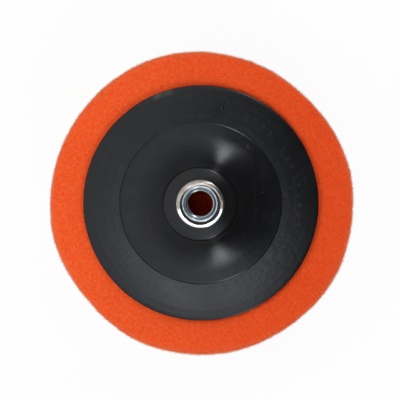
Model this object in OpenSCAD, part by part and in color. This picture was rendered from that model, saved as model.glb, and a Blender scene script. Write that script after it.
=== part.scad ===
// Polishing pad with a threaded hub: an open-cell foam disc bonded to a moulded backing plate.
// The origin is the centre of the foam's working face, and +Z runs up the spindle axis to the hub.

/* [Foam pad] */
// Diameter of the foam disc
foam_d = 150; // [130:1:180]
// Thickness of the foam disc
foam_h = 50; // [30:1:60]
// Radius of the edge round the working face
face_edge_r = 8; // [3:0.5:12]
// Radius of the edge round the back of the foam
back_edge_r = 2.5; // [0.5:0.5:5]
// Diameter of the pocket in the foam that the spindle's end stands in
pocket_d = 24; // [20:1:30]
// Depth of that pocket
pocket_depth = 22; // [10:1:26]

/* [Adhesive film] */
// Thickness of the adhesive between the foam and the plate
film_t = 0.4; // [0.2:0.1:0.8]
// How far the adhesive stops short of the plate's rim
film_inset = 1; // [0.5:0.5:3]

/* [Backing plate] */
// Diameter of the plate
plate_d = 117; // [110:1:125]
// Thickness of the flange at its rim
rim_t = 2.6; // [2:0.1:3]
// Thickness of the flange beside the groove
flange_t = 3; // [2.8:0.1:4]
// Radius of the rounded upper edge of the rim
rim_edge_r = 0.7; // [0.3:0.1:1]
// Outer diameter of the groove that parts the flange from the dome
groove_d = 80.6; // [78:0.1:84]
// Width of the groove
groove_w = 0.4; // [0.3:0.1:1.2]
// Depth of the groove
groove_depth = 0.2; // [0.1:0.1:1]

/* [Dome and boss] */
// Diameter at which the dome's flat apron turns into its hollow flank
apron_d = 69; // [66:1:72]
// Slope of the apron where it meets the groove, in degrees
apron_slope = 4; // [2:0.5:5]
// Slope where the apron turns into the flank, in degrees
turn_slope = 6; // [5.5:0.5:8]
// Slope of the flank where it meets the boss, in degrees
flank_slope = 57; // [50:1:72]
// Diameter of the boss round the bush
boss_d = 34.6; // [33:0.2:36]
// Height of the boss's upright wall
boss_wall_h = 1.2; // [0.4:0.1:2.5]
// Radius of the boss's upper edge
boss_edge_r = 0.8; // [0.5:0.1:1.5]
// Slope of the boss's top, in degrees
boss_slope = 7; // [4:1:15]

/* [Underside of the plate] */
// Thickness of the dome's skin over the cored-out ring
skin_t = 3; // [2.5:0.1:3.5]
// Diameter of the sleeve that holds the bush
sleeve_d = 30; // [28:0.5:31]
// Number of ribs between the sleeve and the skin
rib_count = 12; // [6:1:16]
// Thickness of a rib
rib_t = 1.8; // [1.2:0.1:2.4]

/* [Threaded bush] */
// Minor diameter of the M14 x 2 thread, which the bore's plain wall stands at
thread_minor_d = 12.1; // [11.84:0.02:12.2]
// Outer diameter of the bush
bush_d = 17.4; // [16.8:0.2:18]
// How far the bush stops below the top of the seat ring
bush_drop = 0.5; // [0.2:0.1:1]
// Diameter of the countersink at the top of the bore
countersink_d = 16; // [15:0.2:16.4]
// Diameter at which the countersink gives way to the flank of the first turn of thread
first_turn_d = 13.8; // [13:0.1:14.2]
// Slope of that flank, in degrees
first_turn_slope = 28; // [20:1:30]
// Diameter of the countersink at the bottom of the bore
exit_countersink_d = 14.4; // [13:0.2:16]
// Width across the flats of the hexagonal collar that stops the bush turning
hex_af = 21; // [19:0.5:22]
// Height of the hexagonal collar
hex_h = 4; // [3:0.5:5]
// Height of the hexagonal collar above the plate's underside
hex_z = 2; // [1:0.5:3]
// Number of retaining grooves round the bush
neck_count = 2; // [1:1:2]
// Depth of a retaining groove
neck_depth = 0.7; // [0.3:0.1:1]
// Height of a retaining groove
neck_h = 1.4; // [1:0.1:1.5]

/* [Seat ring] */
// Outer diameter of the ring that the spindle's shoulder seats on
ring_d = 23.4; // [22.8:0.2:24]
// Inner diameter of the ring
ring_bore_d = 19.2; // [18.6:0.2:19.4]
// How far the ring stands above the plastic round it
ring_proud = 2; // [1.5:0.1:3]
// How far the ring is sunk in the boss
ring_sunk = 3.5; // [2:0.5:4]
// Width of the ring's flat top
ring_flat_w = 0.5; // [0.3:0.1:0.8]
// Slope of the ring's top outside that flat, in degrees
ring_slope = 6; // [4:1:15]
// Size of the chamfer round the ring's upper edges
ring_chamfer = 0.3; // [0.2:0.1:0.5]
// How far the ring's buried foot stands out
ring_foot_w = 0.9; // [0.4:0.1:1.2]
// Height of that foot
ring_foot_h = 1; // [0.6:0.1:1.5]

/* [Hidden] */
$fn = 96;
arc_steps = 12;

plate_z = foam_h + film_t;
rim_r = plate_d / 2;
groove_r = groove_d / 2;
dome_r = groove_r - groove_w;
apron_r = apron_d / 2;
boss_r = boss_d / 2;
sleeve_r = sleeve_d / 2;
ring_r = ring_d / 2;
ring_bore_r = ring_bore_d / 2;
bush_r = bush_d / 2;
thread_r = thread_minor_d / 2;

// The apron and the flank are both hollow arcs, and they share one slope where they meet.
apron_arc_r = (dome_r - apron_r) / (sin(turn_slope) - sin(apron_slope));
apron_cr = dome_r + apron_arc_r * sin(apron_slope);
apron_cz = flange_t + apron_arc_r * cos(apron_slope);
turn_z = apron_cz - apron_arc_r * cos(turn_slope);
flank_arc_r = (apron_r - boss_r) / (sin(flank_slope) - sin(turn_slope));
flank_cr = apron_r + flank_arc_r * sin(turn_slope);
flank_cz = turn_z + flank_arc_r * cos(turn_slope);
flank_top_z = flank_cz - flank_arc_r * cos(flank_slope);

// Heights up the hub, above the plate's underside
boss_edge_z = flank_top_z + boss_wall_h;
boss_top_r = boss_r - boss_edge_r + boss_edge_r * sin(boss_slope);
boss_top_z = boss_edge_z + boss_edge_r * cos(boss_slope);
boss_inner_z = boss_top_z + (boss_top_r - ring_r) * tan(boss_slope);
ring_top_z = boss_inner_z + ring_proud;
bush_top_z = ring_top_z - bush_drop;

// The skin's inner face runs parallel to the flank, from the sleeve to where the dome gets thin.
skin_arc_r = flank_arc_r + skin_t;
skin_start_slope = asin(min(1, (flank_cr - sleeve_r) / skin_arc_r));
skin_end_slope = 15;

// Points round an arc in the plane of the section, angles counted from the radial axis
function arc(cr, cz, r, from, to) =
    [for (i = [0:arc_steps]) let (a = from + (to - from) * i / arc_steps) [cr + r * cos(a), cz + r * sin(a)]];

// A hollow arc between two slopes, running inwards and upwards
function hollow(cr, cz, r, from, to) = arc(cr, cz, r, 270 - from, 270 - to);

function plate_outline() = concat(
    [[0, 0], [rim_r, 0]],
    arc(rim_r - rim_edge_r, rim_t - rim_edge_r, rim_edge_r, 0, 90),
    [[groove_r, flange_t], [groove_r - groove_w / 2, flange_t - groove_depth]],
    hollow(apron_cr, apron_cz, apron_arc_r, apron_slope, turn_slope),
    hollow(flank_cr, flank_cz, flank_arc_r, turn_slope, flank_slope),
    arc(boss_r - boss_edge_r, boss_edge_z, boss_edge_r, 0, 90 - boss_slope),
    [[ring_r, boss_inner_z], [0, boss_inner_z]]);

function core_outline() = concat(
    [[sleeve_r, -1]],
    hollow(flank_cr, flank_cz, skin_arc_r, skin_start_slope, skin_end_slope),
    [[flank_cr - skin_arc_r * sin(skin_end_slope), -1]]);

module foam_pad() {
    color("orangered")
    difference() {
        rotate_extrude() polygon(concat(
            [[0, 0]],
            arc(foam_d / 2 - face_edge_r, face_edge_r, face_edge_r, 270, 360),
            arc(foam_d / 2 - back_edge_r, foam_h - back_edge_r, back_edge_r, 0, 90),
            [[0, foam_h]]));
        translate([0, 0, foam_h - pocket_depth]) cylinder(d = pocket_d, h = pocket_depth + 1);
    }
}

module adhesive_film() {
    color("tan")
    translate([0, 0, foam_h])
    difference() {
        cylinder(r = rim_r - film_inset, h = film_t);
        translate([0, 0, -1]) cylinder(d = pocket_d, h = film_t + 2);
    }
}

// The ring between the sleeve and the skin, cored out so that the moulding has even walls
module cored_ring() {
    difference() {
        rotate_extrude() polygon(core_outline());
        for (i = [0:rib_count - 1])
            rotate(360 / rib_count * i) translate([0, -rib_t / 2, -2]) cube([rim_r, rib_t, flank_top_z + 2]);
    }
}

module backing_plate() {
    color("dimgray")
    translate([0, 0, plate_z])
    difference() {
        rotate_extrude() polygon(plate_outline());
        cored_ring();
        bush_body();
        ring_foot();
        translate([0, 0, ring_top_z - ring_proud - ring_sunk]) difference() {
            cylinder(r = ring_r, h = ring_sunk + 1);
            translate([0, 0, -1]) cylinder(r = ring_bore_r, h = ring_sunk + 3);
        }
    }
}

// The bush's outside, from the plate's underside up: a turned body with a hexagonal collar and necks
module bush_body() {
    neck_pitch = (ring_top_z - ring_proud - ring_sunk - hex_z - hex_h) / (neck_count + 1);
    difference() {
        union() {
            cylinder(r = bush_r, h = bush_top_z);
            translate([0, 0, hex_z]) cylinder(d = hex_af / cos(30), h = hex_h, $fn = 6);
        }
        for (i = [1:neck_count])
            translate([0, 0, hex_z + hex_h + neck_pitch * i - neck_h / 2]) difference() {
                cylinder(r = bush_r + 1, h = neck_h);
                translate([0, 0, -1]) cylinder(r = bush_r - neck_depth, h = neck_h + 2);
            }
    }
}

// The bore: a plain wall at the thread's minor radius, opening out at both ends
module bush_bore() {
    first_turn_r = first_turn_d / 2;
    first_turn_z = bush_top_z - (countersink_d / 2 - first_turn_r);
    wall_top_z = first_turn_z - (first_turn_r - thread_r) * tan(first_turn_slope);
    rotate_extrude() polygon([
        [0, -1], [exit_countersink_d / 2 + 1, -1], [thread_r, exit_countersink_d / 2 - thread_r],
        [thread_r, wall_top_z], [first_turn_r, first_turn_z],
        [countersink_d / 2 + 1, bush_top_z + 1], [0, bush_top_z + 1]]);
}

module threaded_bush() {
    color("silver")
    translate([0, 0, plate_z])
    difference() {
        bush_body();
        bush_bore();
    }
}

module ring_foot() {
    translate([0, 0, ring_top_z - ring_proud - ring_sunk]) difference() {
        cylinder(r = ring_r + ring_foot_w, h = ring_foot_h);
        translate([0, 0, -1]) cylinder(r = ring_bore_r, h = ring_foot_h + 2);
    }
}

module seat_ring() {
    flat_outer_r = ring_bore_r + ring_chamfer + ring_flat_w;
    shoulder_r = ring_r - ring_chamfer;
    shoulder_z = ring_top_z - (shoulder_r - flat_outer_r) * tan(ring_slope);
    foot_z = ring_top_z - ring_proud - ring_sunk;
    color("gainsboro")
    translate([0, 0, plate_z])
    rotate_extrude() polygon([
        [ring_bore_r, foot_z], [ring_r + ring_foot_w, foot_z],
        [ring_r + ring_foot_w, foot_z + ring_foot_h], [ring_r, foot_z + ring_foot_h],
        [ring_r, shoulder_z - ring_chamfer], [shoulder_r, shoulder_z], [flat_outer_r, ring_top_z],
        [ring_bore_r + ring_chamfer, ring_top_z], [ring_bore_r, ring_top_z - ring_chamfer]]);
}

foam_pad();
adhesive_film();
backing_plate();
threaded_bush();
seat_ring();
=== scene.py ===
import bpy
import bmesh
import math
from mathutils import Matrix, Vector, noise


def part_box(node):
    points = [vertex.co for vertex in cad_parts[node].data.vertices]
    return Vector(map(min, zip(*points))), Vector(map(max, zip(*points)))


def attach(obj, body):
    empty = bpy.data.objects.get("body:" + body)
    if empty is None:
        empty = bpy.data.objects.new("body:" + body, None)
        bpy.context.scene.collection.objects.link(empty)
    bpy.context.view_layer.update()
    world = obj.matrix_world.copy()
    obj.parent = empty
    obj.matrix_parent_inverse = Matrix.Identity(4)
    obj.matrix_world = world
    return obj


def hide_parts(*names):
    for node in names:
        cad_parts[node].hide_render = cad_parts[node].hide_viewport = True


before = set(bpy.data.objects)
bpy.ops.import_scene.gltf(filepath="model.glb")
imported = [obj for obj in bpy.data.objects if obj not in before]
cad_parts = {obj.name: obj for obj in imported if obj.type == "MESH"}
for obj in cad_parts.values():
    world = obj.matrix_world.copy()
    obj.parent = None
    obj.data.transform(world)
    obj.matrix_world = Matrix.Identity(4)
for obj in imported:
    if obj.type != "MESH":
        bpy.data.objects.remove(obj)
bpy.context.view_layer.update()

scene = bpy.context.scene
mm = 0.001

# Heights that every piece is built from, in millimetres
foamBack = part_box("foam_pad")[1].z / mm
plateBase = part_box("backing_plate")[0].z / mm
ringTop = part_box("seat_ring")[1].z / mm
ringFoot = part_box("seat_ring")[0].z / mm
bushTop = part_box("threaded_bush")[1].z / mm


# Node trees: one small wrapper makes nodes, fills their sockets and links them
class Graph:
    def __init__(self, tree):
        self.tree = tree

    def add(self, kind, sockets=None, **settings):
        node = self.tree.nodes.new(kind)
        for name, value in settings.items():
            setattr(node, name, value)
        for key, value in (sockets or {}).items():
            if isinstance(value, bpy.types.NodeSocket):
                self.link(value, node.inputs[key])
            else:
                node.inputs[key].default_value = value
        return node

    def link(self, output, socket):
        self.tree.links.new(output, socket)

    def math(self, operation, a, b=0.0, c=0.0, clamp=False):
        sockets = {0: a, 1: b}
        if operation == "MULTIPLY_ADD":
            sockets[2] = c
        return self.add("ShaderNodeMath", sockets, operation=operation, use_clamp=clamp).outputs[0]

    def ramp(self, value, low, high, toLow=0.0, toHigh=1.0, smooth=True):
        kind = "SMOOTHSTEP" if smooth else "LINEAR"
        sockets = {"Value": value, "From Min": low, "From Max": high, "To Min": toLow, "To Max": toHigh}
        return self.add("ShaderNodeMapRange", sockets, interpolation_type=kind).outputs[0]

    def mix(self, factor, a, b):
        return self.add("ShaderNodeMix", {0: factor, 6: a, 7: b}, data_type="RGBA").outputs[2]

    def noise(self, vector, scale, detail=2.0, roughness=0.5):
        sockets = {"Vector": vector, "Scale": scale, "Detail": detail, "Roughness": roughness}
        return self.add("ShaderNodeTexNoise", sockets).outputs["Fac"]

    def axes(self, vector):
        return self.add("ShaderNodeSeparateXYZ", {0: vector}).outputs

    def vector(self, x, y, z):
        return self.add("ShaderNodeCombineXYZ", {0: x, 1: y, 2: z}).outputs[0]

    def distance(self, x, y):
        return self.math("SQRT", self.math("ADD", self.math("POWER", x, 2.0), self.math("POWER", y, 2.0)))

    def randomBetween(self, low, high, seed):
        sockets = {2: low, 3: high, "Seed": seed}
        return self.add("FunctionNodeRandomValue", sockets, data_type="FLOAT").outputs[1]

    def channel(self, colour, index, kind="ShaderNodeSeparateColor"):
        return self.add(kind, {0: colour}).outputs[index]


def groupSockets(tree, inputs, outputs):
    made = {}
    for label, kind, value in inputs:
        socket = tree.interface.new_socket(label, in_out="INPUT", socket_type=kind)
        if value is not None:
            socket.default_value = value
        made[label] = socket.identifier
    for label, kind in outputs:
        tree.interface.new_socket(label, in_out="OUTPUT", socket_type=kind)
    return made


# Meshes, drawn in millimetres and stored in metres
def arc(cr, cz, r, start, end, steps):
    angles = [math.radians(start + (end - start) * i / steps) for i in range(steps + 1)]
    return [(cr + r * math.cos(a), cz + r * math.sin(a)) for a in angles]


def finishMesh(bm, name, mergeAt=2e-6):
    bmesh.ops.remove_doubles(bm, verts=bm.verts, dist=mergeAt)
    bmesh.ops.recalc_face_normals(bm, faces=bm.faces)
    openEdges = sum(1 for e in bm.edges if not e.is_manifold)
    mesh = bpy.data.meshes.new(name)
    bm.to_mesh(mesh)
    bm.free()
    print(name, "faces", len(mesh.polygons), "open edges", openEdges)
    return mesh


# Turns an outline of (radius, height) about Z; a radius of 0 is a pole, and shape can bend each point
def turnInto(bm, outline, steps, closed=False, shape=None):
    rings = []
    for row, (r, z) in enumerate(outline):
        if r < 1e-6:
            rings.append([bm.verts.new((0, 0, z * mm))])
            continue
        ring = []
        for k in range(steps):
            a = 2 * math.pi * k / steps
            rr, zz = shape(row, r, z, a) if shape else (r, z)
            ring.append(bm.verts.new((rr * math.cos(a) * mm, rr * math.sin(a) * mm, zz * mm)))
        rings.append(ring)
    pairs = list(zip(rings, rings[1:])) + ([(rings[-1], rings[0])] if closed else [])
    for low, high in pairs:
        for k in range(steps):
            n = (k + 1) % steps
            corners = [low[k % len(low)], low[n % len(low)], high[n % len(high)], high[k % len(high)]]
            bm.faces.new(list(dict.fromkeys(corners)))


def turnedMesh(name, outline, steps, closed=False, shape=None):
    bm = bmesh.new()
    turnInto(bm, outline, steps, closed, shape)
    return finishMesh(bm, name)


def newPiece(name, mesh, material, sharpAngle=32):
    piece = bpy.data.objects.new(name, mesh)
    scene.collection.objects.link(piece)
    mesh.materials.clear()
    mesh.materials.append(material)
    mesh.polygons.foreach_set("use_smooth", [True] * len(mesh.polygons))
    if sharpAngle:
        mesh.set_sharp_from_angle(angle=math.radians(sharpAngle))
    return piece


# Gives back what one modifier makes of a mesh, as a plain mesh
def modified(mesh, kind, setUp):
    carrier = bpy.data.objects.new("carrier", mesh)
    scene.collection.objects.link(carrier)
    setUp(carrier.modifiers.new("Shaping", kind))
    depsgraph = bpy.context.evaluated_depsgraph_get()
    result = bpy.data.meshes.new_from_object(carrier.evaluated_get(depsgraph), depsgraph=depsgraph)
    carrier.modifiers.clear()
    bpy.data.objects.remove(carrier)
    return result


def bakeTree(mesh, tree, identifiers, values):
    def setUp(modifier):
        modifier.node_group = tree
        for label, value in values.items():
            modifier[identifiers[label]] = value
    return modified(mesh, "NODES", setUp)


def evenFaces(mesh, size):
    def setUp(modifier):
        modifier.mode = "VOXEL"
        modifier.voxel_size = size * mm
    return modified(mesh, "REMESH", setUp)


def joinMeshes(name, meshes):
    bm = bmesh.new()
    for mesh in meshes:
        bm.from_mesh(mesh)
    joined = bpy.data.meshes.new(name)
    bm.to_mesh(joined)
    bm.free()
    return joined


# Shared finishes, as node groups
def makeGroup(name, inputs, outputs):
    tree = bpy.data.node_groups.new(name, "ShaderNodeTree")
    groupSockets(tree, inputs, outputs)
    return Graph(tree), tree.nodes.new("NodeGroupInput"), tree.nodes.new("NodeGroupOutput")


# Fine rings left by a lathe tool, on a turned piece or in the mould of a moulded one
def turnedMarksGroup():
    g, given, result = makeGroup("turnedMarks", [
        ("Vector", "NodeSocketVector", None), ("Rings per Metre", "NodeSocketFloat", 3000.0),
        ("Break Up", "NodeSocketFloat", 0.3)], [("Height", "NodeSocketFloat")])
    x, y, z = g.axes(given.outputs["Vector"])
    along = g.math("MULTIPLY", g.distance(x, y), given.outputs["Rings per Metre"])
    up = g.math("MULTIPLY", z, given.outputs["Rings per Metre"])
    rings = g.noise(g.vector(along, up, 0.0), 1.0, 3.0, 0.6)
    patches = g.noise(given.outputs["Vector"], 120.0, 2.0)
    kept = g.ramp(patches, 0.3, 0.6)
    faded = g.math("MULTIPLY", given.outputs["Break Up"], g.math("SUBTRACT", 1.0, kept))
    height = g.math("MULTIPLY", rings, g.math("SUBTRACT", 1.0, faded))
    g.link(height, result.inputs["Height"])
    return g.tree


# Rubbed edges, told by how sharply the surface turns there
def edgeWearGroup():
    g, given, result = makeGroup("edgeWear", [
        ("Vector", "NodeSocketVector", None), ("Patch Scale", "NodeSocketFloat", 90.0),
        ("Start", "NodeSocketFloat", 0.52), ("Full", "NodeSocketFloat", 0.6)], [("Mask", "NodeSocketFloat")])
    turn = g.add("ShaderNodeNewGeometry").outputs["Pointiness"]
    edge = g.ramp(turn, given.outputs["Start"], given.outputs["Full"])
    patches = g.ramp(g.noise(given.outputs["Vector"], given.outputs["Patch Scale"], 4.0, 0.6), 0.42, 0.62)
    g.link(g.math("MULTIPLY", edge, patches), result.inputs["Mask"])
    return g.tree


# Sparse specks of dust and lint, thicker on faces that look up
def dustGroup():
    g, given, result = makeGroup("dust", [
        ("Vector", "NodeSocketVector", None), ("Specks per Metre", "NodeSocketFloat", 260.0),
        ("Speck Size", "NodeSocketFloat", 0.06), ("Film", "NodeSocketFloat", 0.1)],
        [("Mask", "NodeSocketFloat"), ("Film", "NodeSocketFloat")])
    cells = g.add("ShaderNodeTexVoronoi", {"Vector": given.outputs["Vector"],
                                           "Scale": given.outputs["Specks per Metre"]})
    chosen = g.math("LESS_THAN", g.channel(cells.outputs["Color"], 0), 0.3)
    speck = g.math("LESS_THAN", cells.outputs["Distance"], given.outputs["Speck Size"])
    facing = g.ramp(g.axes(g.add("ShaderNodeNewGeometry").outputs["Normal"])[2], 0.1, 0.8)
    film = g.ramp(g.noise(given.outputs["Vector"], 35.0, 5.0, 0.6), 0.35, 0.75)
    specks = g.math("MULTIPLY", g.math("MULTIPLY", chosen, speck), facing)
    g.link(specks, result.inputs["Mask"])
    film = g.math("MULTIPLY", g.math("MULTIPLY", film, facing), given.outputs["Film"])
    g.link(film, result.inputs["Film"])
    return g.tree


turnedMarks = turnedMarksGroup()
edgeWear = edgeWearGroup()
dust = dustGroup()


def newMaterial(name, **shader):
    material = bpy.data.materials.new(name)
    material.use_nodes = True
    material.node_tree.nodes.clear()
    g = Graph(material.node_tree)
    output = g.add("ShaderNodeOutputMaterial")
    bsdf = g.add("ShaderNodeBsdfPrincipled")
    for socket, value in shader.items():
        bsdf.inputs[socket].default_value = value
    g.link(bsdf.outputs[0], output.inputs[0])
    place = g.add("ShaderNodeTexCoord").outputs["Object"]
    return material, g, bsdf, place


def useGroup(g, group, **sockets):
    labelled = {name.replace("_", " "): value for name, value in sockets.items()}
    return g.add("ShaderNodeGroup", labelled, node_tree=group)


# A second bump goes over the first one, and takes its place at the shader
def bump(g, bsdf, height, depth, strength=1.0, under=None):
    sockets = {"Height": height, "Distance": depth, "Strength": strength}
    if under:
        sockets["Normal"] = under
    normal = g.add("ShaderNodeBump", sockets).outputs[0]
    g.link(normal, bsdf.inputs["Normal"])
    return normal


foamFinish = {
    # the third colour is both a darker tone for the random speckle and painted shade in the open cells and
    # pores
    "strut": (0.855, 0.07, 0.006, 1), "yellower": (0.855, 0.131, 0.034, 1), "hollow": (0.63, 0.04, 0.004, 1),
    # painted glow: paler towards the rim, between these distances from the axis in metres
    "edge": (0.95, 0.18, 0.068, 1), "rimGlowBand": (0.0715, 0.0755), "rimGlowShare": 0.35,
    # painted light: palest where the back edge rounds over, lifting that edge out of its shade: distance from
    # the axis, and height in metres
    "fuzzPaintedLight": (1.0, 0.36, 0.17, 1), "fuzzLightShare": 0.75, "fuzzLightBand": (0.072, 0.0735),
    "fuzzLightTop": (0.0498, 0.0491), "fuzzLightFoot": (0.0455, 0.048),
    # painted light: strut tips paler near the rim, lifting the struts out of their shade; the band is
    # distance from the axis in metres
    "tip": (1.0, 0.56, 0.34, 1), "tipLightBand": (0.0715, 0.0745), "tipLightShare": (0.6, 1.0),
    "cellSize": 0.55, "poreSize": 1.3, "speckleSize": 1.3, "speckle": 0.15, "mottle": 0.04, "shade": 0.14,
    # the first two entries paint shade: the foam darker towards +X and a little lighter towards -X, between
    # these x positions in metres
    "paintedShadeSide": (-0.05, 0.34), "paintedShadeBand": (-0.07, 0.07), "sheen": 0.5, "bumpDepth": 0.0003,
}


def foamMaterial(spec):
    material, g, bsdf, place = newMaterial("orangeFoam", **{
        "Roughness": 0.92, "Specular IOR Level": 0.2, "Sheen Weight": spec["sheen"], "Sheen Roughness": 0.45,
        "Sheen Tint": (1.0, 0.45, 0.2, 1)})
    warp = g.noise(place, 900.0, 2.0)
    warp = g.vector(g.math("MULTIPLY", warp, 0.0003), 0.0, 0.0)
    shifted = g.add("ShaderNodeVectorMath", {0: place, 1: warp}, operation="ADD").outputs[0]
    cells = g.add("ShaderNodeTexVoronoi", {"Vector": shifted, "Scale": 1000.0 / spec["cellSize"]})
    cells = cells.outputs["Distance"]
    pores = g.add("ShaderNodeTexVoronoi", {"Vector": shifted, "Scale": 1000.0 / spec["poreSize"]})
    poreOpen = g.ramp(pores.outputs["Distance"], 0.34, 0.12)
    poreChosen = g.math("LESS_THAN", g.channel(pores.outputs["Color"], 1), 0.35)
    pore = g.math("MULTIPLY", poreOpen, poreChosen)
    # painted shade: the open cells and pores are darkened towards the hollow colour
    cellOpen = g.ramp(cells, 0.45, 0.1)
    dark = g.math("MAXIMUM", g.math("MULTIPLY", cellOpen, 0.35), g.math("MULTIPLY", pore, 0.2))
    mottle = g.ramp(g.noise(place, 55.0, 3.0), 0.3, 0.7, -spec["mottle"], spec["mottle"])
    speckle = g.noise(place, 1000.0 / spec["speckleSize"], 3.0, 0.65)
    speckle = g.ramp(speckle, 0.34, 0.66, -spec["speckle"], spec["speckle"], False)
    x, y, z = g.axes(place)
    # painted shade: darker towards +X, a little lighter towards -X
    paintedShade = g.ramp(x, *spec["paintedShadeBand"], *spec["paintedShadeSide"])
    shade = g.math("ADD", g.math("ADD", dark, mottle), g.math("ADD", speckle, spec["shade"]))
    shade = g.math("ADD", shade, paintedShade, clamp=True)
    hue = g.ramp(g.noise(place, 600.0, 4.0, 0.75), 0.36, 0.64, smooth=False)
    out = g.distance(x, y)
    colour = g.mix(hue, spec["strut"], spec["yellower"])
    # painted glow: paler towards the rim
    colour = g.mix(g.ramp(out, *spec["rimGlowBand"], 0.0, spec["rimGlowShare"]), colour, spec["edge"])
    colour = g.mix(shade, colour, spec["hollow"])
    # painted light on the rounded back edge, lifting its shade
    rounded = g.ramp(z, *spec["fuzzLightTop"], 0.0, spec["fuzzLightShare"])
    rounded = g.math("MULTIPLY", rounded, g.ramp(z, *spec["fuzzLightFoot"]))
    colour = g.mix(g.math("MULTIPLY", rounded, g.ramp(out, *spec["fuzzLightBand"])), colour, spec["fuzzPaintedLight"])
    # painted light on the strut tips near the rim
    tip = g.add("ShaderNodeAttribute", attribute_name="tip").outputs["Fac"]
    tip = g.math("MULTIPLY", tip, g.ramp(out, *spec["tipLightBand"], *spec["tipLightShare"]))
    g.link(g.mix(tip, colour, spec["tip"]), bsdf.inputs["Base Color"])
    height = g.math("SUBTRACT", g.math("MULTIPLY", cells, 0.6), g.math("MULTIPLY", pore, 0.8))
    bump(g, bsdf, height, spec["bumpDepth"], 0.8)
    return material


plasticFinish = {
    "colour": (0.0052, 0.0054, 0.006, 1), "worn": (0.012, 0.0125, 0.014, 1), "tint": (0.9, 0.93, 1.0, 1),
    "dustColour": (0.22, 0.21, 0.2, 1), "dustShare": 0.5, "streaks": 0.6,
    "roughness": (0.12, 0.19), "wornRoughness": 0.24, "ior": 1.48,
    # depths in metres of the grain, the ripple and the mould's turning marks
    "grain": 0.00001, "ripple": 0.00003, "ringMarks": 0.00003,
    # a light rub near the rim: direction and reach in degrees, distance from the axis in metres
    "rub": {"angle": 109.0, "reach": 11.0, "fullReach": 1.72, "band": (0.0548, 0.0572), "share": 0.18},
}


def plasticMaterial(spec):
    material, g, bsdf, place = newMaterial("blackPlastic", **{
        "IOR": spec["ior"], "Specular Tint": spec["tint"]})
    wear = useGroup(g, edgeWear, Vector=place, Patch_Scale=70.0, Start=0.525, Full=0.59).outputs["Mask"]
    dusty = useGroup(g, dust, Vector=place, Specks_per_Metre=300.0, Speck_Size=0.05, Film=0.006)
    rings = useGroup(g, turnedMarks, Vector=place, Rings_per_Metre=420.0, Break_Up=0.5).outputs["Height"]
    streak = g.math("MULTIPLY", g.ramp(rings, 0.4, 0.75), spec["streaks"])
    colour = g.mix(g.math("MAXIMUM", wear, streak), spec["colour"], spec["worn"])
    dusted = g.math("MULTIPLY_ADD", dusty.outputs["Mask"], spec["dustShare"], dusty.outputs["Film"])
    colour = g.mix(dusted, colour, spec["dustColour"])
    rub = spec["rub"]
    x, y = g.axes(place)[:2]
    turned = g.math("ABSOLUTE", g.math("SUBTRACT", g.math("ARCTAN2", y, x), math.radians(rub["angle"])))
    rubbed = g.math("MULTIPLY", g.ramp(turned, math.radians(rub["reach"]), math.radians(rub["fullReach"])),
                    g.ramp(g.distance(x, y), *rub["band"]))
    rubbed = g.math("MULTIPLY", rubbed, g.ramp(g.noise(place, 260.0, 2.0), 0.25, 0.6, 0.0, rub["share"]))
    g.link(g.mix(rubbed, colour, spec["dustColour"]), bsdf.inputs["Base Color"])
    smudged = g.ramp(g.noise(place, 28.0, 4.0, 0.6), 0.3, 0.7, *spec["roughness"])
    rough = g.math("MAXIMUM", smudged, g.math("MULTIPLY", wear, spec["wornRoughness"]))
    g.link(rough, bsdf.inputs["Roughness"])
    under = bump(g, bsdf, g.noise(place, 2200.0, 2.0), spec["grain"])
    under = bump(g, bsdf, g.noise(place, 330.0, 3.0, 0.6), spec["ripple"], 1.0, under)
    bump(g, bsdf, rings, spec["ringMarks"], 1.0, under)
    return material


def steelMaterial(name, spec):
    material, g, bsdf, place = newMaterial(name, **{"Metallic": 1.0, "Anisotropic": spec["anisotropic"]})
    patches = g.noise(place, spec["patchScale"], 5.0, 0.6)
    wear = useGroup(g, edgeWear, Vector=place, Patch_Scale=400.0, Start=0.5, Full=0.58).outputs["Mask"]
    colour = g.mix(g.ramp(patches, 0.35, 0.65), spec["colour"], spec["tarnish"])
    # pale metal on sharp edges: partly real wear, partly a painted edge highlight
    colour = g.mix(wear, colour, spec["bareAndHighlight"])
    rough = g.ramp(patches, 0.3, 0.7, *spec["roughness"])
    # painted reflection: paler and smoother towards -Y, where the ring mirrors the bright light
    if "glareBelow" in spec:
        paintedGlare = g.ramp(g.axes(place)[1], *spec["glareBelow"])
        colour = g.mix(paintedGlare, colour, spec["paintedGlare"])
        rough = g.math("MULTIPLY", rough, g.math("MULTIPLY_ADD", paintedGlare, -0.4, 1.0))
    g.link(colour, bsdf.inputs["Base Color"])
    g.link(rough, bsdf.inputs["Roughness"])
    rings = useGroup(g, turnedMarks, Vector=place, Rings_per_Metre=spec["ringsPerMetre"], Break_Up=0.2)
    bump(g, bsdf, rings.outputs["Height"], spec["markDepth"])
    return material


# In both steel finishes the third colour, on sharp edges, is partly real wear and partly a painted edge
# highlight.
zincFinish = {
    "colour": (0.70, 0.78, 0.83, 1), "tarnish": (0.46, 0.54, 0.60, 1), "bareAndHighlight": (0.95, 0.97, 0.98, 1),
    "roughness": (0.17, 0.3), "anisotropic": 0.2, "patchScale": 350.0,
    "ringsPerMetre": 7000.0, "markDepth": 0.000008,
}
ringFinish = {
    "colour": (0.66, 0.62, 0.57, 1), "tarnish": (0.5, 0.45, 0.41, 1), "bareAndHighlight": (0.82, 0.79, 0.76, 1),
    "roughness": (0.11, 0.2), "anisotropic": 0.3, "patchScale": 260.0,
    "ringsPerMetre": 6000.0, "markDepth": 0.000005,
    # painted reflection: paler and smoother on its -Y side, between these two places in metres
    "paintedGlare": (0.95, 0.94, 0.93, 1), "glareBelow": (-0.0017, -0.0033),
}
adhesiveFinish = {"colour": (0.32, 0.16, 0.06, 1), "pale": (0.5, 0.3, 0.14, 1)}


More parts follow.
